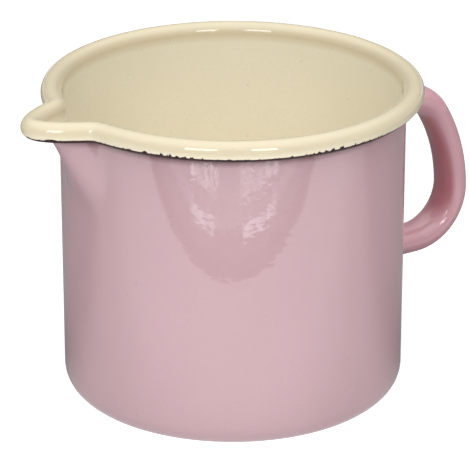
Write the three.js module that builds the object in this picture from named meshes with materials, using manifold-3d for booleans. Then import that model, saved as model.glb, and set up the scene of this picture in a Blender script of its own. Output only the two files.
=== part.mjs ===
// A candle melting pot: a deep-drawn steel pot with a rolled rim, a pressed pouring spout and a hollow
// side handle, all of it covered in vitreous enamel (cream inside and over the rim, pink outside).
//
// Millimetres, +Z up. The origin is the centre of the underside. The spout points along -X and the
// handle along +X, and the pot is the same on both sides of the XZ plane.

import * as THREE from 'three';
import { mergeVertices } from 'three/addons/utils/BufferGeometryUtils.js';
import Module from 'manifold-3d';

const wasm = await Module();
wasm.setup();

// ---------------------------------------------------------------- driving dimensions

const POT_HEIGHT = 113.2;
const WALL_RADIUS = 60; // outside of the enamelled wall
const CORNER_RADIUS = 8; // outside of the corner between wall and base
const STEEL = 0.7; // sheet thickness
const COAT = 0.25; // thickness of one enamel coat
const BEAD_RADIUS = 3.66; // outside of the rolled rim's section
const CURL_END = THREE.MathUtils.degToRad(-120); // where the roll stops, 0 being straight outwards

const SPOUT_REACH = 15.47; // how far the rim is drawn out
const SPOUT_WIDTH = 0.133; // angle over which its sides fall away
const SPOUT_NOSE = 0.7; // rounding of its tip, as a share of the reach
const SPOUT_ROOT = 0.24; // rounding where its sides leave the round rim
const SPOUT_DEPTH = 31.5; // how far the pressed beak runs down the wall
const BEAK_SOFTNESS = 0.08; // rounding where the beak fades into the wall
const BEAK_FLARE = 0.2; // share of the beak's reach that comes just under the rim
const BEAK_FLARE_POWER = 6;

const HANDLE_WIDTH = 15;
const HANDLE_THICKNESS = 9.9;
const HANDLE_SHEET = 0.8;
const HANDLE_TOP = 92; // height of the upper end's centre line
const HANDLE_RUN_OUT = 13.3; // straight stretch from the wall to the first bend
const HANDLE_BENDS = [
  { radius: 13.7, degrees: 58, steps: 4 },
  { radius: 60, degrees: 30, steps: 3 },
  { radius: 18, degrees: 92, steps: 6 },
];
const WELD_LEG = 1.5; // fillet weld round each end of the handle, along its sheet
const WELD_FOOT = 1.2; // along the wall
const WELD_HOLLOW = { out: 0.4, leg: 0.45 }; // middle of the weld's hollow face
const WELD_HOLE_DEPTH = 4; // of the opening in the outside coat, enough to pass the curved wall
const FOOT_FLARE = 1.9; // radius of the coat's flare over the weld
const FOOT_STATIONS = [-4, 0, 0.45, 1.1, 2]; // distances from the wall where the foot is shaped
const VENT_RADIUS = 1.25; // lets hot air out of the hollow handle while it is fired
const VENT_OFFSET = 12; // from the wall, under the lower end

const GROUND_LIP = { in: 0.3, up: 0.5 }; // how far the ground coat runs in behind the roll's edge

const CLEARANCE = 0.05; // between pieces that meet without sharing a face

// ---------------------------------------------------------------- mesh resolution

const SPOUT_STEPS = 18;
const SPOUT_SPAN = 0.5; // half angle that the closely spaced steps cover
const SPOUT_CROWDING = 2.2; // how much closer they are at the tip
const ROUND_STEPS = 32;
const CORNER_STEPS = 3;
const CURL_STEPS = 10;
const WALL_STATIONS = [0, 0.3, 0.55, 0.75, 0.87, 0.9, 1]; // up the beak to the rim's middle
const OVAL_STEPS = 16;
const TRIM_STEPS = 180; // round the wall where the handle is trimmed to it
const VENT_STEPS = 16;

// ---------------------------------------------------------------- derived dimensions

const THICKNESS = STEEL + 2 * COAT;
const BEAD_CENTRE = WALL_RADIUS - THICKNESS + BEAD_RADIUS; // radius of the roll's centre line
const BEAD_HEIGHT = POT_HEIGHT - BEAD_RADIUS;
const BEAK_FOOT = BEAD_HEIGHT - SPOUT_DEPTH;

// A level is a depth through the sheet, counted from the cream face to the pink one.
const CREAM_FACE = 0;
const STEEL_INSIDE = COAT;
const STEEL_OUTSIDE = COAT + STEEL;
const PINK_FACE = THICKNESS;

// ---------------------------------------------------------------- the pot's sheet

// Steps round the pot, as angles from the spout. They crowd together at the spout's tip.
function turnsRoundPot() {
  const turns = [];
  for (let i = 0; i < SPOUT_STEPS; i++) {
    const share = (2 * i) / SPOUT_STEPS - 1;
    turns.push((SPOUT_SPAN * Math.sinh(SPOUT_CROWDING * share)) / Math.sinh(SPOUT_CROWDING));
  }
  const roundStep = (2 * Math.PI - 2 * SPOUT_SPAN) / ROUND_STEPS;
  for (let i = 0; i < ROUND_STEPS; i++) {
    turns.push(SPOUT_SPAN + i * roundStep);
  }
  return turns;
}

const TURNS = turnsRoundPot();

// 1 at the spout's tip, 0 away from it: a rounded nose with straight sides and rounded roots.
function spoutShape(turn) {
  const nose = 1 + SPOUT_NOSE - Math.hypot(SPOUT_NOSE, turn / SPOUT_WIDTH);
  return (nose + Math.hypot(nose, SPOUT_ROOT)) / 2;
}

// How much of the spout's reach the wall has at a height: none at the beak's foot, all at the rim.
function beakShare(z) {
  const climb = THREE.MathUtils.clamp((z - BEAK_FOOT) / SPOUT_DEPTH, 0, 1);
  const straight = ((1 + BEAK_SOFTNESS) * climb * climb) / (climb + BEAK_SOFTNESS);
  return (1 - BEAK_FLARE) * straight + BEAK_FLARE * climb ** BEAK_FLARE_POWER;
}

const outward = (turn) => new THREE.Vector2(-Math.cos(turn), -Math.sin(turn));

const rimPoint = (turn) =>
  outward(turn).multiplyScalar(BEAD_CENTRE + SPOUT_REACH * spoutShape(turn));

function rimNormal(turn) {
  const step = 1e-4; // small enough that the chord is the tangent
  const along = rimPoint(turn + step).sub(rimPoint(turn - step)).normalize();
  return new THREE.Vector2(along.y, -along.x);
}

// A row is one line round the sheet: its inset from the roll's centre line, its height, and how much
// of the spout's reach it has.
function rowPoint(turn, row) {
  const onRound = outward(turn).multiplyScalar(BEAD_CENTRE - row.inset);
  const onRim = rimPoint(turn).addScaledVector(rimNormal(turn), -row.inset);
  const plan = onRound.lerp(onRim, row.share);
  return new THREE.Vector3(plan.x, plan.y, row.z);
}

// The roll's underside stays against the wall, so it follows the beak as it turns back inwards.
function curlShare(angle) {
  const back = THREE.MathUtils.smoothstep(-angle, Math.PI / 4, -CURL_END);
  return 1 - back * (1 - beakShare(BEAD_HEIGHT + BEAD_RADIUS * Math.sin(CURL_END)));
}

function cornerRows(level) {
  const radius = CORNER_RADIUS - THICKNESS + level;
  const centre = WALL_RADIUS - CORNER_RADIUS;
  const rows = [];
  for (let i = 0; i <= CORNER_STEPS; i++) {
    const angle = (Math.PI / 2) * (i / CORNER_STEPS - 1);
    const inset = BEAD_CENTRE - centre - radius * Math.cos(angle);
    rows.push({ inset, z: CORNER_RADIUS + radius * Math.sin(angle), share: 0 });
  }
  return rows;
}

function wallRows(level) {
  const inset = BEAD_RADIUS - level;
  return WALL_STATIONS.map((station) => {
    const z = BEAK_FOOT + station * SPOUT_DEPTH;
    return { inset, z, share: beakShare(z) };
  });
}

function curlRows(level) {
  const radius = BEAD_RADIUS - level;
  const rows = [];
  for (let i = 1; i <= CURL_STEPS; i++) {
    const angle = Math.PI + (CURL_END - Math.PI) * (i / CURL_STEPS);
    rows.push({
      inset: -radius * Math.cos(angle),
      z: BEAD_HEIGHT + radius * Math.sin(angle),
      share: curlShare(angle),
    });
  }
  return rows;
}

const plainRows = (level) => [...cornerRows(level), ...wallRows(level).slice(0, -1)];
const rolledRows = (level) => [...cornerRows(level), ...wallRows(level), ...curlRows(level)];

// ---------------------------------------------------------------- mesh building

function geometryFrom(points, triangles) {
  const geometry = new THREE.BufferGeometry().setFromPoints(points);
  geometry.setIndex(triangles);
  geometry.computeVertexNormals();
  return geometry;
}

// One layer of the pot: the space between two levels of the sheet, from the centre of the base to
// the last row. Neighbouring layers share a level, so their faces match exactly.
function layerGeometry(rowsAt, innerLevel, outerLevel) {
  const points = [];
  const triangles = [];
  const count = TURNS.length;
  const addTriangle = (facesOut, a, b, c) => triangles.push(...(facesOut ? [a, b, c] : [a, c, b]));

  const addFace = (level, facesOut) => {
    const rows = rowsAt(level);
    const pole = points.push(new THREE.Vector3(0, 0, THICKNESS - level)) - 1;
    const first = points.length;
    for (const row of rows) {
      points.push(...TURNS.map((turn) => rowPoint(turn, row)));
    }
    const at = (row, column) => first + row * count + (column % count);
    for (let j = 0; j < count; j++) {
      addTriangle(facesOut, pole, at(0, j + 1), at(0, j));
      for (let i = 0; i + 1 < rows.length; i++) {
        addTriangle(facesOut, at(i, j), at(i, j + 1), at(i + 1, j + 1));
        addTriangle(facesOut, at(i, j), at(i + 1, j + 1), at(i + 1, j));
      }
    }
    return (column) => at(rows.length - 1, column);
  };

  const outerEdge = addFace(outerLevel, true);
  const innerEdge = addFace(innerLevel, false);
  for (let j = 0; j < count; j++) {
    addTriangle(true, outerEdge(j), outerEdge(j + 1), innerEdge(j + 1));
    addTriangle(true, outerEdge(j), innerEdge(j + 1), innerEdge(j));
  }
  return geometryFrom(points, triangles);
}

// A ring lofted through closed sections, each a list of points that runs the same way round.
function ringGeometry(sections) {
  const size = sections[0].length;
  const triangles = [];
  const at = (section, corner) => (section % sections.length) * size + (corner % size);
  for (let j = 0; j < sections.length; j++) {
    for (let i = 0; i < size; i++) {
      triangles.push(at(j, i), at(j + 1, i), at(j + 1, i + 1));
      triangles.push(at(j, i), at(j + 1, i + 1), at(j, i + 1));
    }
  }
  return geometryFrom(sections.flat(), triangles);
}

// A capped tube lofted through open-ended sections.
function tubeGeometry(sections) {
  const size = sections[0].length;
  const points = sections.flat();
  const triangles = [];
  const at = (section, corner) => section * size + (corner % size);
  const last = sections.length - 1;
  for (let i = 0; i < size; i++) {
    for (let j = 0; j < last; j++) {
      triangles.push(at(j, i), at(j, i + 1), at(j + 1, i + 1));
      triangles.push(at(j, i), at(j + 1, i + 1), at(j + 1, i));
    }
  }
  for (let i = 1; i + 1 < size; i++) {
    triangles.push(at(0, 0), at(0, i + 1), at(0, i));
    triangles.push(at(last, 0), at(last, i), at(last, i + 1));
  }
  return geometryFrom(points, triangles);
}

// ---------------------------------------------------------------- booleans

function solidFrom(geometry) {
  const bare = geometry.clone();
  bare.deleteAttribute('normal');
  bare.deleteAttribute('uv');
  const merged = mergeVertices(bare);
  const mesh = new wasm.Mesh({
    numProp: 3,
    vertProperties: new Float32Array(merged.attributes.position.array),
    triVerts: new Uint32Array(merged.index.array),
  });
  return new wasm.Manifold(mesh);
}

function geometryOf(solid) {
  const mesh = solid.getMesh();
  const geometry = new THREE.BufferGeometry();
  geometry.setAttribute('position', new THREE.BufferAttribute(mesh.vertProperties, 3));
  geometry.setIndex(new THREE.BufferAttribute(mesh.triVerts, 1));
  geometry.computeVertexNormals();
  return geometry;
}

// An upright cylinder as wide as the wall and a little more, to trim what meets it.
function wallTrim(radius) {
  const cylinder = new THREE.CylinderGeometry(radius, radius, 2 * POT_HEIGHT, TRIM_STEPS);
  return solidFrom(cylinder.rotateX(Math.PI / 2));
}

// ---------------------------------------------------------------- the handle

// Stations along the handle's centre line in the XZ plane. heading is 0 along +X and turns downwards,
// and fromWall is the distance to the wall, where the foot spreads.
function handleStations() {
  const stations = [];
  let x = WALL_RADIUS + HANDLE_RUN_OUT;
  let z = HANDLE_TOP;
  let heading = 0;
  for (const fromWall of FOOT_STATIONS) {
    stations.push({ x: WALL_RADIUS + fromWall, z, heading, fromWall });
  }
  stations.push({ x, z, heading, fromWall: HANDLE_RUN_OUT });
  for (const bend of HANDLE_BENDS) {
    const turn = THREE.MathUtils.degToRad(bend.degrees) / bend.steps;
    const chord = 2 * bend.radius * Math.sin(turn / 2);
    for (let i = 0; i < bend.steps; i++) {
      x += chord * Math.cos(heading + turn / 2);
      z -= chord * Math.sin(heading + turn / 2);
      heading += turn;
      stations.push({ x, z, heading, fromWall: x - WALL_RADIUS });
    }
  }
  for (const fromWall of FOOT_STATIONS.toReversed()) {
    stations.push({ x: WALL_RADIUS + fromWall, z, heading, fromWall });
  }
  return stations;
}

const HANDLE_STATIONS = handleStations();
const HANDLE_BOTTOM = HANDLE_STATIONS.at(-1).z;

// The enamelled foot's flare over the weld: a concave quarter round.
function footFlare(fromWall) {
  const share = THREE.MathUtils.clamp(1 - fromWall / FOOT_FLARE, 0, 1);
  return FOOT_FLARE * (1 - Math.sqrt(1 - share * share));
}

// A solid oval bar along the handle, grown by a distance that may change along it.
function handleBar(growAt) {
  const sections = HANDLE_STATIONS.map((station) => {
    const grow = growAt(station.fromWall);
    const section = [];
    for (let i = 0; i < OVAL_STEPS; i++) {
      const angle = (2 * Math.PI * i) / OVAL_STEPS;
      const across = (HANDLE_WIDTH / 2 + grow) * Math.cos(angle);
      const up = (HANDLE_THICKNESS / 2 + grow) * Math.sin(angle);
      section.push(
        new THREE.Vector3(
          station.x + up * Math.sin(station.heading),
          across,
          station.z + up * Math.cos(station.heading),
        ),
      );
    }
    return section;
  });
  return solidFrom(tubeGeometry(sections));
}

function ventDrill() {
  const drill = new THREE.CylinderGeometry(VENT_RADIUS, VENT_RADIUS, HANDLE_THICKNESS, VENT_STEPS);
  drill.rotateX(Math.PI / 2);
  drill.translate(WALL_RADIUS + VENT_OFFSET, 0, HANDLE_BOTTOM - HANDLE_THICKNESS / 2);
  return solidFrom(drill);
}

function handleShellGeometry() {
  return geometryOf(
    handleBar(() => -COAT)
      .subtract(handleBar(() => -COAT - HANDLE_SHEET))
      .subtract(wallTrim(WALL_RADIUS - COAT + CLEARANCE))
      .subtract(ventDrill()),
  );
}

function handleEnamelGeometry() {
  const underneath = (fromWall) => footFlare(fromWall) - COAT + (fromWall < WELD_LEG ? CLEARANCE : 0);
  return geometryOf(
    handleBar(footFlare)
      .subtract(handleBar(underneath))
      .subtract(wallTrim(WALL_RADIUS + CLEARANCE))
      .subtract(ventDrill()),
  );
}

// A fillet weld round one end of the handle, between its sheet and the pot's wall.
function weldGeometry(height) {
  const corners = [
    { out: CLEARANCE, leg: 0 },
    { out: WELD_FOOT, leg: 0 },
    WELD_HOLLOW,
    { out: CLEARANCE, leg: WELD_LEG },
  ];
  const steelRadius = WALL_RADIUS - COAT + CLEARANCE;
  const sections = [];
  for (let i = 0; i < 2 * OVAL_STEPS; i++) {
    const angle = (Math.PI * i) / OVAL_STEPS;
    sections.push(
      corners.map(({ out, leg }) => {
        const y = (HANDLE_WIDTH / 2 - COAT + out) * Math.cos(angle);
        const up = (HANDLE_THICKNESS / 2 - COAT + out) * Math.sin(angle);
        return new THREE.Vector3(Math.sqrt(steelRadius ** 2 - y ** 2) + leg, y, height + up);
      }),
    );
  }
  return ringGeometry(sections);
}

// ---------------------------------------------------------------- the enamel coats and the rim's edge

// The outside coat, open where the handle is welded to the steel.
function exteriorEnamelGeometry() {
  const holes = solidFrom(weldHole(HANDLE_TOP)).add(solidFrom(weldHole(HANDLE_BOTTOM)));
  return geometryOf(solidFrom(layerGeometry(plainRows, STEEL_OUTSIDE, PINK_FACE)).subtract(holes));
}

function weldHole(height) {
  const hole = new THREE.CylinderGeometry(1, 1, WELD_HOLE_DEPTH, 2 * OVAL_STEPS);
  hole.rotateZ(Math.PI / 2);
  const grow = WELD_FOOT - COAT + CLEARANCE;
  hole.scale(1, HANDLE_WIDTH / 2 + grow, HANDLE_THICKNESS / 2 + grow);
  return hole.translate(WALL_RADIUS, 0, height);
}

// The dark ground coat left showing where the roll's edge closes on the wall.
function groundCoatGeometry() {
  const edgeRadius = BEAD_RADIUS + CLEARANCE;
  const edgeInset = -edgeRadius * Math.cos(CURL_END) + CLEARANCE;
  const edgeHeight = BEAD_HEIGHT + edgeRadius * Math.sin(CURL_END);
  const share = curlShare(CURL_END);
  const behindRoll = wallRows(PINK_FACE + CLEARANCE).slice(0, -1); // all but the rim's middle
  const [wallBottom, wallTop] = behindRoll.slice(-2);
  const corners = [
    wallBottom,
    { inset: edgeInset, z: edgeHeight - CLEARANCE, share },
    { inset: edgeInset - GROUND_LIP.in, z: edgeHeight + GROUND_LIP.up, share },
    wallTop,
  ];
  return ringGeometry(TURNS.map((turn) => corners.map((row) => rowPoint(turn, row))));
}

// ---------------------------------------------------------------- materials and assembly

const CREAM = { color: '#e6dab8', roughness: 0.15, metalness: 0 };
const PINK = { color: '#c99fa7', roughness: 0.18, metalness: 0 };
const GROUND_COAT = { color: '#2b2324', roughness: 0.35, metalness: 0 };
const BARE_STEEL = { color: '#8d8f92', roughness: 0.5, metalness: 1 };
const WELD_METAL = { color: '#77787a', roughness: 0.6, metalness: 1 };

const pot = new THREE.Group();

function addPart(name, geometry, finish) {
  const mesh = new THREE.Mesh(geometry, new THREE.MeshStandardMaterial(finish));
  mesh.name = name;
  pot.add(mesh);
}

addPart('steel_body', layerGeometry(rolledRows, STEEL_INSIDE, STEEL_OUTSIDE), BARE_STEEL);
addPart('interior_enamel', layerGeometry(rolledRows, CREAM_FACE, STEEL_INSIDE), CREAM);
addPart('exterior_enamel', exteriorEnamelGeometry(), PINK);
addPart('rim_ground_coat', groundCoatGeometry(), GROUND_COAT);
addPart('handle_shell', handleShellGeometry(), BARE_STEEL);
addPart('handle_enamel', handleEnamelGeometry(), PINK);
addPart('upper_handle_weld', weldGeometry(HANDLE_TOP), WELD_METAL);
addPart('lower_handle_weld', weldGeometry(HANDLE_BOTTOM), WELD_METAL);

export default pot;
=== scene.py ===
"""Looks for the enamelled candle melting pot: smooth coats, the uneven ground-coat line, camera and light.

Shapes are worked out in millimetres in the CAD's frame (+Z up, the spout along -X, the handle along +X)
and turned into metres where a mesh is made.
"""

import math

import bmesh
import bpy
import numpy as np
from mathutils import Matrix, Vector


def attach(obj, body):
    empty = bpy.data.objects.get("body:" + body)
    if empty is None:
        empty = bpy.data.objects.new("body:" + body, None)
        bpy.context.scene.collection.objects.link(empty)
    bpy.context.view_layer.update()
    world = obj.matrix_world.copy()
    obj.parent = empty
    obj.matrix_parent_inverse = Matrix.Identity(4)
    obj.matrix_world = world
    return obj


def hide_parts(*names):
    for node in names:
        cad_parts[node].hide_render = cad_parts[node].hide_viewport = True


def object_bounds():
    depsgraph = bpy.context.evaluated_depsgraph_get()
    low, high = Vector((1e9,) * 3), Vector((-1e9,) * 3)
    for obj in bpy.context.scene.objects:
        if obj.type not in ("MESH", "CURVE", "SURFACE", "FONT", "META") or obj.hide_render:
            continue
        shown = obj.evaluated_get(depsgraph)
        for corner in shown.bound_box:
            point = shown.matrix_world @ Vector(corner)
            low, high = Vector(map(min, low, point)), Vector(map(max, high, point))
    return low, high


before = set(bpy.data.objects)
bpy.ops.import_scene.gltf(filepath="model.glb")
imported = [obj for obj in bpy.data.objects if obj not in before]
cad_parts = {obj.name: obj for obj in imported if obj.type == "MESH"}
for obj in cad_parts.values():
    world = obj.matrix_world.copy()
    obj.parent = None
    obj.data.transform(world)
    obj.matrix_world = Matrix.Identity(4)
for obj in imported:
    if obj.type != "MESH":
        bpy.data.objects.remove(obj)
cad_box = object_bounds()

MM = 0.001
SEED = 7

# ---------------------------------------------------------------- dimensions, as in the CAD, in millimetres

POT_HEIGHT = (cad_box[1].z - cad_box[0].z) / MM
WALL_RADIUS = 60.0
CORNER_RADIUS = 8.0
STEEL = 0.7
COAT = 0.25
BEAD_RADIUS = 3.66
CURL_END = -120.0  # degrees, 0 being straight outwards

SPOUT_REACH = 15.47
SPOUT_WIDTH = 0.133
SPOUT_NOSE = 0.7
SPOUT_ROOT = 0.24
SPOUT_DEPTH = 31.5
BEAK_SOFTNESS = 0.08
BEAK_FLARE = 0.2
BEAK_FLARE_POWER = 6

HANDLE_WIDTH = 15.0
HANDLE_THICKNESS = 9.9
HANDLE_SHEET = 0.8
HANDLE_TOP = 92.0
HANDLE_RUN_OUT = 13.3
HANDLE_BENDS = [(13.7, 58, 22), (60.0, 30, 14), (18.0, 92, 34)]  # radius, degrees, steps
FOOT_REACH = 1.9
FOOT_STATIONS = [0.0, 0.06, 0.16, 0.3, 0.48, 0.7, 0.95, 1.25, 1.6, 2.0, 2.8, 4.0, 5.5, 7.5, 10.0]
FOOT_CLEAR = 0.5  # between the lower bend's end and the first foot station
WALL_FOLLOW = 9.0  # distance over which the handle's sections straighten from the wall's curve
COAT_OFF_WALL = 0.02
VENT_RADIUS = 1.25
VENT_OFFSET = 12.0

THICKNESS = STEEL + 2 * COAT
BEAD_CENTRE = WALL_RADIUS - THICKNESS + BEAD_RADIUS
BEAD_HEIGHT = POT_HEIGHT - BEAD_RADIUS
BEAK_FOOT = BEAD_HEIGHT - SPOUT_DEPTH

# Depths through the sheet, counted from the cream face to the pink one.
CREAM_FACE = 0.0
GROUND_FACE = 0.12
STEEL_INSIDE = COAT
STEEL_OUTSIDE = COAT + STEEL
PINK_FACE = THICKNESS

# ---------------------------------------------------------------- mesh resolution

SPOUT_SPAN = 0.5
SPOUT_STEPS = 96
SPOUT_CROWDING = 1.6
ROUND_STEPS = 192
EDGE_FACTOR = 8  # how much finer the rim's lower edge is than the rest
BASE_RINGS = [6, 14, 22, 30, 37, 43, 48]
CORNER_STEPS = 9
WALL_STEPS = 30
WALL_CROWDING = 1.6  # how much closer the wall's rings are at the top
CURL_STEPS = 44
CURL_BACK_STEPS = 26
LIP_START = 0.0  # degrees round the roll, where the finer turns begin
LIP_STEPS = 30
LIP_FINE_STEPS = 16
OVAL_STEPS = 56
VENT_STEPS = 32
SHARP_ANGLE = 50.0  # degrees between faces, above which an edge is left sharp

# ---------------------------------------------------------------- the pot's sheet

def smoothstep(x, low, high):
    t = np.clip((x - low) / (high - low), 0, 1)
    return t * t * (3 - 2 * t)


def turns_round_pot(factor=1):
    """Angles from the spout, crowded together at its tip. A factor splits each step evenly."""
    crowd = np.linspace(-1, 1, SPOUT_STEPS, endpoint=False)
    near = SPOUT_SPAN * np.sinh(SPOUT_CROWDING * crowd) / math.sinh(SPOUT_CROWDING)
    far = np.linspace(SPOUT_SPAN, 2 * math.pi - SPOUT_SPAN, ROUND_STEPS, endpoint=False)
    coarse = np.concatenate([near, far])
    ends = np.append(coarse[1:], coarse[0] + 2 * math.pi)
    steps = (ends - coarse)[:, None] * np.arange(factor) / factor
    return (coarse[:, None] + steps).ravel()


TURNS = turns_round_pot()
EDGE_TURNS = turns_round_pot(EDGE_FACTOR)


def spout_shape(turn):
    """1 at the spout's tip, 0 away from it: a rounded nose with straight sides and rounded roots."""
    turn = (turn + math.pi) % (2 * math.pi) - math.pi
    nose = 1 + SPOUT_NOSE - np.hypot(SPOUT_NOSE, turn / SPOUT_WIDTH)
    return (nose + np.hypot(nose, SPOUT_ROOT)) / 2


def beak_share(z):
    """How much of the spout's reach the wall has at a height: none at the beak's foot, all at the rim."""
    climb = np.clip((z - BEAK_FOOT) / SPOUT_DEPTH, 0, 1)
    straight = (1 + BEAK_SOFTNESS) * climb * climb / (climb + BEAK_SOFTNESS)
    return (1 - BEAK_FLARE) * straight + BEAK_FLARE * climb**BEAK_FLARE_POWER


def outward(turn):
    return np.stack([-np.cos(turn), -np.sin(turn)], -1)


def rim_point(turn):
    return outward(turn) * (BEAD_CENTRE + SPOUT_REACH * spout_shape(turn))[..., None]


def rim_normal(turn):
    step = 1e-4  # small enough that the chord is the tangent
    along = rim_point(turn + step) - rim_point(turn - step)
    along /= np.linalg.norm(along, axis=-1, keepdims=True)
    return np.stack([along[..., 1], -along[..., 0]], -1)


def sheet_ring(turns, inset, z, share):
    """One line round the sheet. Inset, height and share of the spout's reach may vary with the turn."""
    inset, z, share = (np.broadcast_to(v, turns.shape)[:, None] for v in (inset, z, share))
    on_round = outward(turns) * (BEAD_CENTRE - inset)
    on_rim = rim_point(turns) - rim_normal(turns) * inset
    plan = on_round * (1 - share) + on_rim * share
    return np.concatenate([plan, z], 1)


def curl_share(angle):
    """The roll's underside stays against the wall, so it follows the beak as it turns back inwards."""
    end = math.radians(CURL_END)
    wall = beak_share(BEAD_HEIGHT + BEAD_RADIUS * math.sin(end))
    return 1 - smoothstep(-angle, math.pi / 4, -end) * (1 - wall)


def curl_ring(turns, level, degrees):
    angle = np.radians(degrees)
    radius = BEAD_RADIUS - level
    z = BEAD_HEIGHT + radius * np.sin(angle)
    return sheet_ring(turns, -radius * np.cos(angle), z, curl_share(angle))


def wall_ring(turns, level, z):
    return sheet_ring(turns, BEAD_RADIUS - level, z, beak_share(z))


def base_and_corner(level):
    """Rings from near the middle of the base to the top of the rounded corner."""
    centre = WALL_RADIUS - CORNER_RADIUS
    radius = CORNER_RADIUS - THICKNESS + level
    rings = [sheet_ring(TURNS, BEAD_CENTRE - r, THICKNESS - level, 0) for r in BASE_RINGS]
    for angle in np.linspace(-math.pi / 2, 0, CORNER_STEPS):
        inset = BEAD_CENTRE - centre - radius * math.cos(angle)
        rings.append(sheet_ring(TURNS, inset, CORNER_RADIUS + radius * math.sin(angle), 0))
    return rings


def wall_rings(level, top):
    """Rings up the wall. They are closest together where the beak flares."""
    share = np.linspace(0, 1, WALL_STEPS + 1)[1:]
    heights = CORNER_RADIUS + (top - CORNER_RADIUS) * (1 - (1 - share) ** WALL_CROWDING)
    return [wall_ring(TURNS, level, z) for z in heights]


def curl_rings(level, start, end, steps):
    return [curl_ring(TURNS, level, angle) for angle in np.linspace(start, end, steps + 1)[1:]]


# ---------------------------------------------------------------- seeded unevenness

def round_noise(turns, cells, random):
    """Smooth noise between -1 and 1 that closes on itself round the pot."""
    values = random.uniform(-1, 1, cells)
    place = (turns % (2 * math.pi)) / (2 * math.pi) * cells
    cell = np.floor(place).astype(int)
    ease = smoothstep(place - cell, 0, 1)
    return values[cell % cells] * (1 - ease) + values[(cell + 1) % cells] * ease


EDGE_REST = -27.0  # degrees round the roll where the cream ends
EDGE_DRIFT = 3.0
EDGE_DRIFT_CELLS = 40
EDGE_CHIPS = 23.0  # how far the roughest chips climb
CHIP_PATCHES = 19  # stretches round the pot that are more or less chipped
PATCH_MEAN = 0.5
PATCH_LEAST = 0.12
CHIP_CELLS = 620
CHIP_FINE_CELLS = 1150
CHIP_FINE_SHARE = 0.6
CHIP_THRESHOLD = 0.1  # noise under this leaves the edge whole


def cream_edge(turns):
    """Where the cream stops on the roll's underside: a smooth drift with patches of small chips."""
    random = np.random.RandomState(SEED)
    drift = round_noise(turns, EDGE_DRIFT_CELLS, random)
    patches = np.clip(PATCH_MEAN + round_noise(turns, CHIP_PATCHES, random), PATCH_LEAST, 1)
    chips = round_noise(turns, CHIP_CELLS, random)
    chips += CHIP_FINE_SHARE * round_noise(turns, CHIP_FINE_CELLS, random)
    climb = EDGE_CHIPS * patches * np.clip(chips - CHIP_THRESHOLD, 0, 1)
    return EDGE_REST + EDGE_DRIFT * drift + climb


# ---------------------------------------------------------------- mesh building

def stitch(mesh, low, high):
    """Faces between two closed rings of vertices. The finer one has a whole multiple of the other's."""
    if len(low) > len(high):
        factor = len(low) // len(high)
        for i in range(len(high)):
            fine = [low[(factor * i + k) % len(low)] for k in range(factor + 1)]
            mesh.faces.new([*fine, high[(i + 1) % len(high)], high[i]])
        return
    factor = len(high) // len(low)
    for i in range(len(low)):
        fine = [high[(factor * i + k) % len(high)] for k in range(factor + 1)]
        mesh.faces.new([low[i], low[(i + 1) % len(low)], *reversed(fine)])


def add_ring(mesh, ring):
    return [mesh.verts.new(Vector(p) * MM) for p in ring]


def finish_mesh(mesh, name):
    bmesh.ops.recalc_face_normals(mesh, faces=mesh.faces)
    for face in mesh.faces:
        face.smooth = True
    for edge in mesh.edges:
        if len(edge.link_faces) == 2 and edge.calc_face_angle(0) > math.radians(SHARP_ANGLE):
            edge.smooth = False
    data = bpy.data.meshes.new(name)
    mesh.to_mesh(data)
    mesh.free()
    piece = bpy.data.objects.new(name, data)
    bpy.context.scene.collection.objects.link(piece)
    return piece


def closed_shell(name, rings, first_height, last_height):
    """A solid swept through rings, closed at both ends by a point on the pot's axis."""
    mesh = bmesh.new()
    loops = [add_ring(mesh, ring) for ring in rings]
    for low, high in zip(loops, loops[1:]):
        stitch(mesh, low, high)
    for loop, height in ((loops[0], first_height), (loops[-1], last_height)):
        pole = mesh.verts.new((0, 0, height * MM))
        for i in range(len(loop)):
            mesh.faces.new([loop[i], loop[(i + 1) % len(loop)], pole])
    return finish_mesh(mesh, name)


def closed_band(name, rings):
    """A solid ring whose section runs through the rings and back to the first one."""
    mesh = bmesh.new()
    loops = [add_ring(mesh, ring) for ring in rings]
    for low, high in zip(loops, [*loops[1:], loops[0]]):
        stitch(mesh, low, high)
    return finish_mesh(mesh, name)


def as_piece(piece, slot, material, *nodes):
    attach(piece, "root")
    if nodes:
        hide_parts(*nodes)
    piece.data.materials.append(material)
    return piece


# ---------------------------------------------------------------- the pot's layers

CURL_START = 180.0  # degrees, where the roll leaves the inside of the wall
CREAM_BACK_END = 12.0  # degrees, where the cream's hidden face stops
CREAM_EDGE_PROFILE = [(0.03, 1.2), (0.09, 2.2), (0.17, 2.7), (STEEL_INSIDE, 2.9)]  # depth, degrees past it


def steel_pressing():
    inside = base_and_corner(STEEL_INSIDE) + wall_rings(STEEL_INSIDE, BEAD_HEIGHT)
    inside += curl_rings(STEEL_INSIDE, CURL_START, CURL_END, CURL_STEPS)
    outside = base_and_corner(STEEL_OUTSIDE) + wall_rings(STEEL_OUTSIDE, BEAD_HEIGHT)
    outside += curl_rings(STEEL_OUTSIDE, CURL_START, CURL_END, CURL_STEPS)
    return closed_shell("steel_pressing", inside + outside[::-1], COAT + STEEL, COAT)


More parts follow.
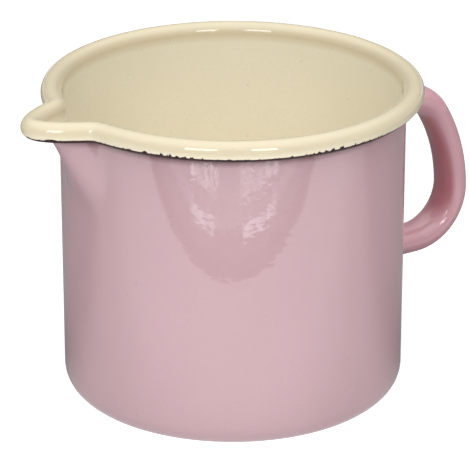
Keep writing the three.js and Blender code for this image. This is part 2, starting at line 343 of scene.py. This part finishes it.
def cream_coat():
    """The cream coat with a soft, rounded edge where it stops under the roll."""
    edge = cream_edge(EDGE_TURNS)
    face = base_and_corner(CREAM_FACE) + wall_rings(CREAM_FACE, BEAD_HEIGHT)
    face += curl_rings(CREAM_FACE, CURL_START, LIP_START, LIP_STEPS)
    for share in np.linspace(0, 1, LIP_FINE_STEPS + 1)[1:]:
        face.append(curl_ring(EDGE_TURNS, CREAM_FACE, LIP_START + (edge - LIP_START) * share))
    for level, past in CREAM_EDGE_PROFILE:
        face.append(curl_ring(EDGE_TURNS, level, edge - past))
    back = base_and_corner(STEEL_INSIDE) + wall_rings(STEEL_INSIDE, BEAD_HEIGHT)
    back += curl_rings(STEEL_INSIDE, CURL_START, CREAM_BACK_END, CURL_BACK_STEPS)
    return closed_shell("cream_coat", face + back[::-1], THICKNESS, THICKNESS - COAT)


PINK_TOP = 106.0  # under the ground coat, where the roll closes on the wall


def pink_coat():
    face = base_and_corner(PINK_FACE) + wall_rings(PINK_FACE, PINK_TOP)
    back = base_and_corner(STEEL_OUTSIDE) + wall_rings(STEEL_OUTSIDE, PINK_TOP)
    return closed_shell("pink_coat", face + back[::-1], 0, COAT)


GROUND_START = -18.0  # degrees round the roll
GROUND_TURN_IN = -112.0  # where the ground coat leaves the roll for the wall
GROUND_FOOT = 105.3  # height where it ends on the wall
GROUND_FOOT_DRIFT = 0.3
GROUND_FOOT_CELLS = 110
GROUND_FOOT_FINE_CELLS = 420
GROUND_CORNER = 106.5  # height of the fillet's corner against the wall
GROUND_PROUD = 0.03  # how far it stands off the pink coat
GROUND_BURIED = 0.05  # how far its back is sunk into the pink coat
GROUND_OFF_STEEL = 0.01
GROUND_ROLL_RINGS = 20
GROUND_FILLET_STEPS = 6
GROUND_BACK_RINGS = 8


def ground_coat():
    """The nearly black first coat: round the roll's underside and filleted into the wall."""
    random = np.random.RandomState(SEED + 1)
    drift = round_noise(EDGE_TURNS, GROUND_FOOT_CELLS, random)
    drift += 0.5 * round_noise(EDGE_TURNS, GROUND_FOOT_FINE_CELLS, random)
    foot = GROUND_FOOT + GROUND_FOOT_DRIFT * drift
    on_roll = curl_ring(EDGE_TURNS, GROUND_FACE, GROUND_TURN_IN)
    on_wall = wall_ring(EDGE_TURNS, PINK_FACE + GROUND_PROUD, foot)
    corner = wall_ring(EDGE_TURNS, PINK_FACE + GROUND_PROUD, GROUND_CORNER)
    round_roll = np.linspace(GROUND_START, GROUND_TURN_IN, GROUND_ROLL_RINGS)
    rings = [curl_ring(EDGE_TURNS, GROUND_FACE, angle) for angle in round_roll]
    for t in np.linspace(0, 1, GROUND_FILLET_STEPS + 1)[1:]:
        rings.append((1 - t) ** 2 * on_roll + 2 * t * (1 - t) * corner + t * t * on_wall)
    rings.append(wall_ring(EDGE_TURNS, PINK_FACE - GROUND_BURIED, foot))
    rings.append(wall_ring(EDGE_TURNS, PINK_FACE - GROUND_BURIED, GROUND_CORNER))
    back = STEEL_INSIDE - GROUND_OFF_STEEL
    back_round_roll = np.linspace(CURL_END, GROUND_START, GROUND_BACK_RINGS)
    rings += [curl_ring(EDGE_TURNS, back, angle) for angle in back_round_roll]
    return closed_band("ground_coat", rings)


# ---------------------------------------------------------------- the handle

def handle_stations():
    """Centre line in the XZ plane: x, z, heading (0 along +X, turning downwards), distance to the wall."""
    stations = [(WALL_RADIUS + d, HANDLE_TOP, 0.0, d) for d in FOOT_STATIONS]
    x, z, heading = WALL_RADIUS + HANDLE_RUN_OUT, HANDLE_TOP, 0.0
    stations.append((x, z, heading, HANDLE_RUN_OUT))
    for radius, degrees, steps in HANDLE_BENDS:
        turn = math.radians(degrees) / steps
        chord = 2 * radius * math.sin(turn / 2)
        for _ in range(steps):
            x += chord * math.cos(heading + turn / 2)
            z -= chord * math.sin(heading + turn / 2)
            heading += turn
            stations.append((x, z, heading, x - WALL_RADIUS))
    for d in reversed(FOOT_STATIONS):
        if WALL_RADIUS + d < x - FOOT_CLEAR:
            stations.append((WALL_RADIUS + d, z, heading, d))
    return stations


HANDLE_STATIONS = handle_stations()
HANDLE_BOTTOM = HANDLE_STATIONS[-1][1]


def foot_flare(from_wall):
    """The coat's concave quarter round over the weld."""
    share = min(max(1 - from_wall / FOOT_REACH, 0), 1)
    return FOOT_REACH * (1 - math.sqrt(1 - share * share))


NEARLY_UPRIGHT = 0.9  # sine of the heading, above which a section is clear of the wall


def handle_ring(station, grow, off_wall):
    """An oval section. Close to the wall it follows the wall's curve."""
    x, z, heading, from_wall = station
    psi = np.linspace(0, 2 * math.pi, OVAL_STEPS, endpoint=False)
    across = (HANDLE_WIDTH / 2 + grow) * np.cos(psi)
    up = (HANDLE_THICKNESS / 2 + grow) * np.sin(psi)
    sag = WALL_RADIUS - np.sqrt(WALL_RADIUS**2 - across**2)
    upright = abs(math.sin(heading)) > NEARLY_UPRIGHT
    follow = 0 if upright else 1 - smoothstep(from_wall, 0, WALL_FOLLOW)
    px = x + up * math.sin(heading) - sag * follow + off_wall
    return np.stack([px, across, z + up * math.cos(heading)], 1)


def handle_layer(name, outside, inside, off_wall):
    """A hollow tube along the handle between two offsets from its visible surface."""
    face = [handle_ring(s, outside(s[3]), off_wall) for s in HANDLE_STATIONS]
    back = [handle_ring(s, inside(s[3]), off_wall) for s in HANDLE_STATIONS]
    piece = closed_band(name, face + back[::-1])
    drill_vent(piece)
    return piece


def drill_vent(piece):
    """Cuts the small vent hole under the handle's lower end."""
    cutter = bmesh.new()
    depth = HANDLE_THICKNESS * MM
    bmesh.ops.create_cone(cutter, cap_ends=True, segments=VENT_STEPS, radius1=VENT_RADIUS * MM,
                          radius2=VENT_RADIUS * MM, depth=depth)
    off_seam = Matrix.Rotation(math.pi / VENT_STEPS / 2, 3, "Z")
    bmesh.ops.rotate(cutter, verts=cutter.verts, matrix=off_seam)
    place = Vector((WALL_RADIUS + VENT_OFFSET, 0, HANDLE_BOTTOM - HANDLE_THICKNESS / 2)) * MM
    bmesh.ops.translate(cutter, verts=cutter.verts, vec=place)
    drill = finish_mesh(cutter, "vent_drill")
    cut = piece.modifiers.new("vent", "BOOLEAN")
    cut.operation = "DIFFERENCE"
    cut.solver = "EXACT"
    cut.object = drill
    solid = piece.evaluated_get(bpy.context.evaluated_depsgraph_get())
    data = bpy.data.meshes.new_from_object(solid)
    piece.modifiers.clear()
    piece.data = data
    bpy.data.objects.remove(drill)


def handle_tube():
    return handle_layer("handle_tube", lambda d: -COAT, lambda d: -COAT - HANDLE_SHEET, 0)


def handle_coat():
    return handle_layer("handle_coat", foot_flare, lambda d: foot_flare(d) - COAT, COAT_OFF_WALL)


# ---------------------------------------------------------------- materials

class Nodes:
    """A small helper that adds and joins shader nodes."""

    def __init__(self, name):
        self.material = bpy.data.materials.new(name)
        self.material.use_nodes = True
        self.tree = self.material.node_tree
        self.tree.nodes.clear()
        self.output = self.add("ShaderNodeOutputMaterial")
        self.texture = self.add("ShaderNodeTexCoord")
        self.coords = self.texture.outputs["Object"]

    def add(self, kind, **settings):
        node = self.tree.nodes.new(kind)
        for key, value in settings.items():
            setattr(node, key, value)
        return node

    def link(self, source, target):
        self.tree.links.new(source, target)

    def axis(self, vector, name):
        split = self.add("ShaderNodeSeparateXYZ")
        self.link(vector, split.inputs[0])
        return split.outputs[name]

    def noise(self, scale, detail=2.0, roughness=0.5):
        """Noise whose features are about 1/scale metres apart."""
        node = self.add("ShaderNodeTexNoise")
        node.inputs["Scale"].default_value = scale
        node.inputs["Detail"].default_value = detail
        node.inputs["Roughness"].default_value = roughness
        self.link(self.coords, node.inputs["Vector"])
        return node.outputs["Fac"]

    def ramp(self, value, low, high, to_low=0.0, to_high=1.0):
        node = self.add("ShaderNodeMapRange", clamp=True)
        for key, number in (("From Min", low), ("From Max", high), ("To Min", to_low), ("To Max", to_high)):
            node.inputs[key].default_value = number
        self.link(value, node.inputs["Value"])
        return node.outputs["Result"]

    def mix(self, factor, first, second):
        node = self.add("ShaderNodeMix", data_type="RGBA")
        self.link(factor, node.inputs["Factor"])
        for value, key in ((first, "A"), (second, "B")):
            socket = [s for s in node.inputs if s.name == key and s.type == "RGBA"][0]
            if isinstance(value, tuple):
                socket.default_value = (*value, 1)
            else:
                self.link(value, socket)
        return [s for s in node.outputs if s.type == "RGBA"][0]

    def bump(self, height, distance, strength=1.0, below=None):
        node = self.add("ShaderNodeBump")
        node.inputs["Distance"].default_value = distance
        node.inputs["Strength"].default_value = strength
        self.link(height, node.inputs["Height"])
        if below is not None:
            self.link(below, node.inputs["Normal"])
        return node.outputs["Normal"]

    def surface(self, color, roughness, normal, **sockets):
        shader = self.add("ShaderNodeBsdfPrincipled")
        self.link(color, shader.inputs["Base Color"])
        self.link(roughness, shader.inputs["Roughness"])
        self.link(normal, shader.inputs["Normal"])
        for key, value in sockets.items():
            shader.inputs[key.replace("_", " ")].default_value = value
        self.link(shader.outputs["BSDF"], self.output.inputs["Surface"])
        return self.material


ENAMEL_IOR = 1.55
ENAMEL_ROUGHNESS = 0.05
SMOOTHEST = 0.3  # of that roughness
PEEL_HEIGHT = 1.3e-6  # metres
MOTTLE_DEPTH = 0.94
MOTTLE_SHARE = 0.6
SPECK_LEVELS = (0.85, 0.87)  # of the noise, so that specks are rare and small
SPECK_STRENGTH = 0.35

UNDER_ROLL_SHADE_TOP = 0.1052  # metres: painted shade, where the wall's coat is painted darkest, close under the roll
UNDER_ROLL_SHADE_FOOT = 0.1024
UNDER_ROLL_SHADE_POWER = 1.6

RIM_SHADE_FOOT = 0.1065  # metres: painted shade, the cream is painted a little darker over the roll
RIM_SHADE_FULL = 0.1098

INNER_SHADE_START = -0.55  # X of the normal, from where the handle's inner side takes a painted shade
INNER_SHADE_FULL = -0.85

# features per metre
DRIFT_SCALE = 28
WAVE_SCALE = 95
GLOSS_SCALE = 140
RIPPLE_SCALE = 430
SPECK_SCALE = 800
MOTTLE_SCALE = 900
PEEL_SCALE = 900


def enamel(name, color, shade, speck, waviness, under_roll_shade=None, rim=None, inner=None, rough=ENAMEL_ROUGHNESS):
    """Glossy vitreous enamel: slow colour drift, fine mottle, rare specks, waves, ripples and orange peel.

    It can take a painted shade close under the roll, a painted shade that darkens the rim, and a deeper
    painted shade on the handle's inner side.
    """
    n = Nodes(name)
    drift = n.ramp(n.noise(DRIFT_SCALE, 3), 0.35, 0.65)
    tint = n.mix(drift, color, shade)
    mottle = n.ramp(n.noise(MOTTLE_SCALE, 2, 0.6), 0.3, 0.7)
    darker = tuple(MOTTLE_DEPTH * c for c in color)
    tint = n.mix(n.ramp(mottle, 0, 1, 0, MOTTLE_SHARE), tint, darker)
    height = n.axis(n.coords, "Z")
    # painted shade: the cream darkens over the roll
    if rim:
        tint = n.mix(n.ramp(height, RIM_SHADE_FOOT, RIM_SHADE_FULL), tint, rim)
    # painted shade: the handle's inner side, which faces the wall, is painted a deeper red
    if inner:
        facing = n.axis(n.texture.outputs["Normal"], "X")
        tint = n.mix(n.ramp(facing, INNER_SHADE_START, INNER_SHADE_FULL), tint, inner)
    specks = n.ramp(n.noise(SPECK_SCALE, 0), *SPECK_LEVELS, 0, SPECK_STRENGTH)
    tint = n.mix(specks, tint, speck)
    # painted shade: the wall's pink darkens towards the roll, standing in for the shadow under it
    if under_roll_shade:
        climb = n.ramp(height, UNDER_ROLL_SHADE_FOOT, UNDER_ROLL_SHADE_TOP)
        ease = n.add("ShaderNodeMath", operation="POWER")
        n.link(climb, ease.inputs[0])
        ease.inputs[1].default_value = UNDER_ROLL_SHADE_POWER
        tint = n.mix(ease.outputs[0], tint, under_roll_shade)
    roughness = n.ramp(n.noise(GLOSS_SCALE, 3), 0.3, 0.7, SMOOTHEST * rough, rough)
    waves = n.bump(n.noise(WAVE_SCALE, 1), waviness)
    ripples = n.bump(n.noise(RIPPLE_SCALE, 1), waviness, below=waves)
    peel = n.bump(n.noise(PEEL_SCALE, 1), PEEL_HEIGHT, below=ripples)
    return n.surface(tint, roughness, peel, IOR=ENAMEL_IOR)


GROUND_DARK = (0.014, 0.006, 0.007)
GROUND_LIGHT = (0.060, 0.022, 0.023)
GROUND_GRAIN = 3e-5  # metres
GROUND_SPECULAR = 0.12


def ground_enamel():
    """The nearly black first coat, thin and slightly burnt."""
    n = Nodes("ground_coat_burnt")
    tint = n.mix(n.ramp(n.noise(600, 4), 0.4, 0.7), GROUND_DARK, GROUND_LIGHT)
    roughness = n.ramp(n.noise(900, 2), 0.3, 0.7, 0.22, 0.45)
    bump = n.bump(n.noise(1400, 3), GROUND_GRAIN)
    return n.surface(tint, roughness, bump, IOR=ENAMEL_IOR, Specular_IOR_Level=GROUND_SPECULAR)


STEEL_SPREAD = 0.2  # between its smoothest and roughest spots
STEEL_GRAIN = 1e-5  # metres


def bare_steel(name, light, dark, rough):
    """Mill-finish steel with faint streaks and scale."""
    n = Nodes(name)
    tint = n.mix(n.ramp(n.noise(320, 5), 0.35, 0.7), light, dark)
    roughness = n.ramp(n.noise(800, 3), 0.3, 0.7, rough, rough + STEEL_SPREAD)
    bump = n.bump(n.noise(1500, 3), STEEL_GRAIN)
    return n.surface(tint, roughness, bump, Metallic=1.0)


# ---------------------------------------------------------------- camera, floor and light

TARGET_HEIGHT = 52.0
CAMERA_TURN = 32.0  # degrees from the -Y axis towards -X
CAMERA_RISE = 22.392
CAMERA_PITCH = 22.257
CAMERA_DISTANCE = 1041.1
CAMERA_SIDE = 0.775
CAMERA_LENS = 226.24
SENSOR_WIDTH = 36
CLIP_START = 0.05
CLIP_END = 50

camera_angle = math.radians(CAMERA_TURN)
TO_CAMERA = Vector((-math.sin(camera_angle), -math.cos(camera_angle), 0))  # level, from the pot
TO_RIGHT = Vector((math.cos(camera_angle), -math.sin(camera_angle), 0))
UP = Vector((0, 0, 1))


def aim(rise):
    """Direction from the pot that rises towards the camera by some degrees."""
    return math.cos(math.radians(rise)) * TO_CAMERA + math.sin(math.radians(rise)) * UP


def make_camera():
    camera = bpy.data.objects.new("camera", bpy.data.cameras.new("camera"))
    camera.data.lens = CAMERA_LENS
    camera.data.sensor_width = SENSOR_WIDTH
    place = TARGET_HEIGHT * UP + CAMERA_DISTANCE * aim(CAMERA_RISE) + CAMERA_SIDE * TO_RIGHT
    camera.location = MM * place
    camera.rotation_mode = "QUATERNION"
    camera.rotation_quaternion = (-aim(CAMERA_PITCH)).to_track_quat("-Z", "Y")
    camera.data.clip_start = CLIP_START
    camera.data.clip_end = CLIP_END
    bpy.context.scene.collection.objects.link(camera)
    bpy.context.scene.camera = camera


def glowing(name, strength, albedo=0):
    """A plain white glow, diffuse as well when it has an albedo."""
    material = bpy.data.materials.new(name)
    material.use_nodes = True
    shader = material.node_tree.nodes["Principled BSDF"]
    shader.inputs["Base Color"].default_value = (albedo, albedo, albedo, 1)
    shader.inputs["Specular IOR Level"].default_value = 0
    shader.inputs["Roughness"].default_value = 1
    shader.inputs["Emission Color"].default_value = (1, 1, 1, 1)
    shader.inputs["Emission Strength"].default_value = strength
    return material


def flat_sheet(name, corners, material):
    data = bpy.data.meshes.new(name)
    data.from_pydata([tuple(c) for c in corners], [], [tuple(range(len(corners)))])
    sheet = bpy.data.objects.new(name, data)
    data.materials.append(material)
    bpy.context.scene.collection.objects.link(sheet)
    return sheet


FLOOR_HALF = 6.0  # metres
FLOOR_DROP = 0.0001
FLOOR_GLOW = 0.75
FLOOR_ALBEDO = 0.9


def make_floor():
    z = cad_box[0].z - FLOOR_DROP
    corners = [(x * FLOOR_HALF, y * FLOOR_HALF, z) for x, y in ((-1, -1), (1, -1), (1, 1), (-1, 1))]
    flat_sheet("floor", corners, glowing("floor_white", FLOOR_GLOW, FLOOR_ALBEDO))


# Low cards round the lit table that the camera doesn't see: near edge, far edge, left, right (mm) and
# brightness. Forward is towards the camera.
TABLE_CARDS = [
    (206, 228, -900, 900, 0.12),
    (228, 256, -900, 900, 0.5),
    (256, 279, -900, 900, 1.4),
    (279, 285, -900, 900, 0.7),
    (285, 420, -900, 900, 1.4),
    (420, 1500, -1500, 1500, 0.15),
    (-1500, -300, -1500, 1500, 0.2),
    (-300, 206, -1500, -420, 0.1),
    (-300, 206, 420, 1500, 0.1),
]
TABLE_BACK = -300.0
TABLE_FRONT = 206.0
TABLE_SIDE = 420.0
# the dim stretch near and behind the pot is a painted shadow of the pot
# forward (mm) and brightness
TABLE_GLOW = [(-300, 0.25), (-90, 0.3), (-20, 0.2), (40, 0.8), (120, 1.5), (206, 1.5)]
TABLE_LIFT = 0.00005  # metres above the floor


def lit_table():
    """The table's sheen: bright towards the softboxes, dim close round the pot and behind it as a painted
    shadow of the pot.
    """
    material = glowing("table_sheen", 1)
    tree = material.node_tree
    coords = tree.nodes.new("ShaderNodeTexCoord")
    forward = tree.nodes.new("ShaderNodeVectorMath")
    forward.operation = "DOT_PRODUCT"
    forward.inputs[1].default_value = TO_CAMERA / MM
    tree.links.new(coords.outputs["Object"], forward.inputs[0])
    place = tree.nodes.new("ShaderNodeMapRange")
    place.inputs["From Min"].default_value = TABLE_BACK
    place.inputs["From Max"].default_value = TABLE_FRONT
    tree.links.new(forward.outputs["Value"], place.inputs["Value"])
    glow = tree.nodes.new("ShaderNodeValToRGB")
    glow.color_ramp.interpolation = "EASE"
    stops = glow.color_ramp.elements
    while len(stops) < len(TABLE_GLOW):
        stops.new(0.5)
    for stop, (distance, brightness) in zip(stops, TABLE_GLOW):
        stop.position = (distance - TABLE_BACK) / (TABLE_FRONT - TABLE_BACK)
        stop.color = (brightness, brightness, brightness, 1)
    tree.links.new(place.outputs["Result"], glow.inputs["Fac"])
    tree.links.new(glow.outputs["Color"], tree.nodes["Principled BSDF"].inputs["Emission Strength"])
    return material


def table_corners(near, far, left, right):
    outline = ((near, left), (near, right), (far, right), (far, left))
    return [forward * TO_CAMERA + right * TO_RIGHT for forward, right in outline]


def unseen_card(name, corners, material):
    """A card that only reflections and bounced light see."""
    card = flat_sheet(name, corners, material)
    card.visible_camera = False
    card.visible_shadow = False


def make_table_cards():
    height = Vector((0, 0, cad_box[0].z - TABLE_LIFT))
    table = table_corners(TABLE_BACK, TABLE_FRONT, -TABLE_SIDE, TABLE_SIDE)
    unseen_card("table_sheen", [c * MM + height for c in table], lit_table())
    for number, (near, far, left, right, glow) in enumerate(TABLE_CARDS):
        name = f"reflector_{number}"
        corners = [c * MM + height for c in table_corners(near, far, left, right)]
        unseen_card(name, corners, glowing(name, glow))


# The softboxes' own reflections in the strip before the table's edge, broken into streaks: near, far,
# left and right (mm), brightness, and how much of the card they cover.
STREAK_CARDS = [
    (249, 262, -115, -46, 4.2, 0.6),
    (249, 262, 26, 120, 4.2, 0.6),
    (262, 279, -110, -50, 2.6, 0.25),
    (262, 279, 30, 130, 2.6, 0.25),
    (287, 330, -135, -45, 5.0, 0.45),
    (287, 330, 25, 150, 5.0, 0.45),
]
STREAK_SCALE = 45.0
STREAK_STRETCH = 7.0
STREAK_BASE = 1.0  # brightness between the streaks
STREAK_SOFTNESS = 0.03
STREAK_LEVEL = 0.68  # of the noise, above which a card with no cover glows
STREAK_LEVEL_FALL = 0.36  # how much lower it is with full cover
STREAK_LIFT = 0.0001


def streaked(name, glow, cover):
    """Ragged bright streaks over the strip's own brightness."""
    n = Nodes(name)
    turned = n.add("ShaderNodeMapping")
    n.link(n.coords, turned.inputs["Vector"])
    turned.inputs["Rotation"].default_value = (0, 0, math.radians(CAMERA_TURN))
    turned.inputs["Scale"].default_value = (1, STREAK_STRETCH, 1)
    noise = n.add("ShaderNodeTexNoise")
    noise.inputs["Scale"].default_value = STREAK_SCALE
    noise.inputs["Detail"].default_value = 3
    n.link(turned.outputs["Vector"], noise.inputs["Vector"])
    level = STREAK_LEVEL - STREAK_LEVEL_FALL * cover
    low, high = level - STREAK_SOFTNESS, level + STREAK_SOFTNESS
    strength = n.ramp(noise.outputs["Fac"], low, high, STREAK_BASE, glow)
    light = n.add("ShaderNodeEmission")
    n.link(strength, light.inputs["Strength"])
    n.link(light.outputs["Emission"], n.output.inputs["Surface"])
    return n.material


def make_streaks():
    height = Vector((0, 0, cad_box[0].z - TABLE_LIFT + STREAK_LIFT))
    for number, (near, far, left, right, glow, cover) in enumerate(STREAK_CARDS):
        name = f"streaks_{number}"
        corners = [c * MM + height for c in table_corners(near, far, left, right)]
        unseen_card(name, corners, streaked(name, glow, cover))


# azimuth right of the camera, elevation, width and height (degrees), radiance
SOFTBOXES = [
    ("softbox_left", -19, 32, 16, 18, 7.4),
    ("softbox_right", 19, 32, 12.5, 18, 7.4),
]
SOFTBOX_DISTANCE = 1.0  # metres


def make_softboxes():
    for name, azimuth, elevation, width, height, radiance in SOFTBOXES:
        light = bpy.data.lights.new(name, "AREA")
        light.shape = "RECTANGLE"
        light.size = 2 * SOFTBOX_DISTANCE * math.tan(math.radians(width / 2))
        light.size_y = 2 * SOFTBOX_DISTANCE * math.tan(math.radians(height / 2))
        light.energy = radiance * math.pi * light.size * light.size_y
        softbox = bpy.data.objects.new(name, light)
        a, e = math.radians(azimuth), math.radians(elevation)
        level = math.cos(a) * TO_CAMERA + math.sin(a) * TO_RIGHT
        away = math.cos(e) * level + math.sin(e) * UP
        softbox.location = MM * TARGET_HEIGHT * UP + SOFTBOX_DISTANCE * away
        softbox.rotation_mode = "QUATERNION"
        softbox.rotation_quaternion = (-away).to_track_quat("-Z", "Y")
        softbox.visible_camera = False
        bpy.context.scene.collection.objects.link(softbox)


HORIZON_GLOW = 0.2
ZENITH_GLOW = 1.85
CEILING_START = 0.45  # upward part of the direction, where the ceiling begins to show
CEILING_FULL = 0.95


def make_world():
    """A dim room with a bright ceiling. The camera itself sees plain white beyond the floor."""
    world = bpy.data.worlds.new("studio")
    bpy.context.scene.world = world
    world.use_nodes = True
    tree = world.node_tree
    tree.nodes.clear()
    output = tree.nodes.new("ShaderNodeOutputWorld")
    coords = tree.nodes.new("ShaderNodeTexCoord")
    split = tree.nodes.new("ShaderNodeSeparateXYZ")
    climb = tree.nodes.new("ShaderNodeMapRange")
    climb.inputs["From Min"].default_value = CEILING_START
    climb.inputs["From Max"].default_value = CEILING_FULL
    climb.inputs["To Min"].default_value = HORIZON_GLOW
    climb.inputs["To Max"].default_value = ZENITH_GLOW
    room = tree.nodes.new("ShaderNodeBackground")
    white = tree.nodes.new("ShaderNodeBackground")
    path = tree.nodes.new("ShaderNodeLightPath")
    pick = tree.nodes.new("ShaderNodeMixShader")
    tree.links.new(coords.outputs["Generated"], split.inputs[0])
    tree.links.new(split.outputs["Z"], climb.inputs["Value"])
    tree.links.new(climb.outputs["Result"], room.inputs["Strength"])
    room.inputs["Color"].default_value = (1, 1, 1, 1)
    white.inputs["Color"].default_value = (1, 1, 1, 1)
    tree.links.new(path.outputs["Is Camera Ray"], pick.inputs["Fac"])
    tree.links.new(room.outputs[0], pick.inputs[1])
    tree.links.new(white.outputs[0], pick.inputs[2])
    tree.links.new(pick.outputs[0], output.inputs["Surface"])


# ---------------------------------------------------------------- assembly

make_camera()

PINK = (0.540, 0.355, 0.384)
PINK_SHADE = (0.520, 0.338, 0.367)
PINK_SPECK = (0.36, 0.2, 0.22)
# painted shade colour for the wall close under the roll
PINK_UNDER_ROLL_SHADE = (0.16, 0.065, 0.07)
# painted light: the handle's pinks are the wall's enamel painted brighter, to light the handle
HANDLE_PINK_LIT = (0.700, 0.395, 0.445)
HANDLE_PINK_LIT_DRIFT = (0.680, 0.372, 0.422)
# painted shade colour for the handle's inner side
HANDLE_INNER_SHADE = (0.530, 0.215, 0.245)
CREAM = (0.900, 0.835, 0.670)
CREAM_SHADE = (0.885, 0.820, 0.650)
# painted shade colour for the cream over the roll
RIM_SHADED_CREAM = (0.710, 0.622, 0.440)
CREAM_SPECK = (0.5, 0.42, 0.3)
CREAM_ROUGHNESS = 0.02

# height of the slow waves, in metres
PINK_WAVES = 2.4e-5
HANDLE_WAVES = 9e-6
CREAM_WAVES = 2.5e-6

STEEL_LIGHT = (0.55, 0.56, 0.57)
STEEL_DARK = (0.36, 0.36, 0.37)
STEEL_ROUGHNESS = 0.35
WELD_LIGHT = (0.42, 0.42, 0.43)
WELD_DARK = (0.22, 0.21, 0.21)
WELD_ROUGHNESS = 0.5

pink = enamel("pink_enamel_gloss", PINK, PINK_SHADE, PINK_SPECK, PINK_WAVES, under_roll_shade=PINK_UNDER_ROLL_SHADE)
handle_pink_lit = enamel("pink_enamel_handle_lit", HANDLE_PINK_LIT, HANDLE_PINK_LIT_DRIFT, PINK_SPECK, HANDLE_WAVES,
                     inner=HANDLE_INNER_SHADE)
cream = enamel("cream_enamel_gloss", CREAM, CREAM_SHADE, CREAM_SPECK, CREAM_WAVES,
               rim=RIM_SHADED_CREAM, rough=CREAM_ROUGHNESS)
ground = ground_enamel()
steel = bare_steel("mill_steel", STEEL_LIGHT, STEEL_DARK, STEEL_ROUGHNESS)
weld = bare_steel("weld_bead", WELD_LIGHT, WELD_DARK, WELD_ROUGHNESS)

as_piece(steel_pressing(), "sheet_steel", steel, "steel_body")
as_piece(cream_coat(), "cream_enamel", cream, "interior_enamel")
as_piece(pink_coat(), "pink_enamel", pink, "exterior_enamel")
as_piece(ground_coat(), "ground_coat", ground, "rim_ground_coat")
as_piece(handle_tube(), "sheet_steel", steel, "handle_shell")
as_piece(handle_coat(), "pink_enamel", handle_pink_lit, "handle_enamel")
for node in ("upper_handle_weld", "lower_handle_weld"):
    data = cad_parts[node].data
    data.materials.clear()
    data.materials.append(weld)

make_floor()
make_table_cards()
make_streaks()
make_softboxes()
make_world()
bpy.context.scene.view_settings.view_transform = "Standard"
